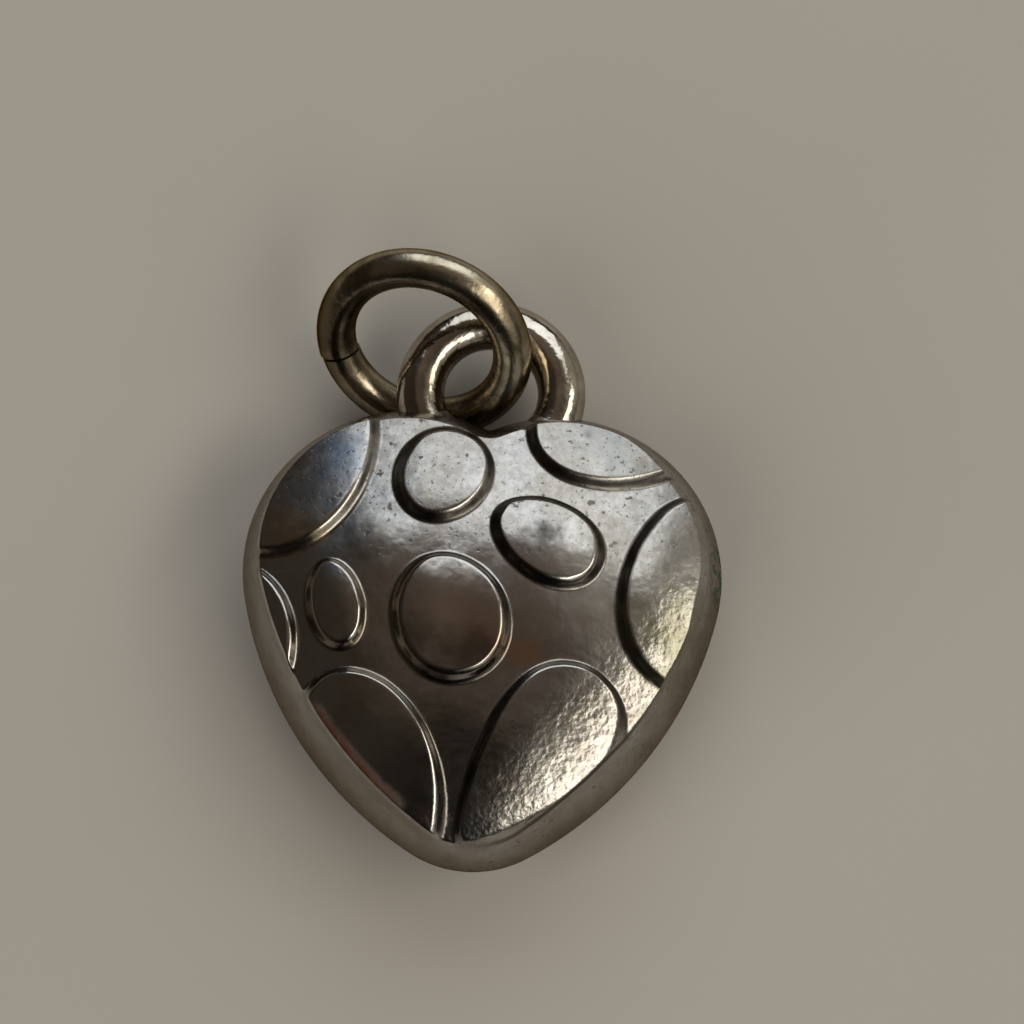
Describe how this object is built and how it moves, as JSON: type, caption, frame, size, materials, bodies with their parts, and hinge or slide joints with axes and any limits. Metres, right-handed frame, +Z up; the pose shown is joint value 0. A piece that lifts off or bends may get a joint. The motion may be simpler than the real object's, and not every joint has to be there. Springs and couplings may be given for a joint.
{
  "type": "heart charm",
  "caption": "Hollow puffed heart charm with raised pebble pads on its front, a wire loop soldered into the cleft and an open jump ring that travels round the loop.",
  "frame": {"origin": "middle of the flat on the back, on the heart's axis and halfway up its height, where the charm rests", "axes": "+Z up out of the pebbled front, +Y along the heart's axis from its tip to its loop, +X to the right as seen from the front"},
  "size_m": [0.0128, 0.0162, 0.005],
  "materials": {
    "plated_shell": "worn silver-tone plate over copper alloy, polished, with pits, tarnish in the grooves and a trace of verdigris",
    "loop_wire": "worn silver-tone plate, polished",
    "ring_wire": "worn silver-tone plate gone warm and dull",
    "solder": "bright soft solder"
  },
  "bodies": {
    "charm": {"front_shell": "plated_shell", "back_shell": "plated_shell", "seam_solder": "solder", "hanging_loop": "loop_wire", "loop_solder": "solder"},
    "ring": {"jump_ring": "ring_wire"}
  },
  "joints": [
    {"name": "ring_travel", "type": "hinge", "parent": "charm", "child": "ring", "pos_m": [0.00005, 0.0069, 0.0019], "axis": [0, 0, -1], "range_deg": [0, 90]}
  ]
}
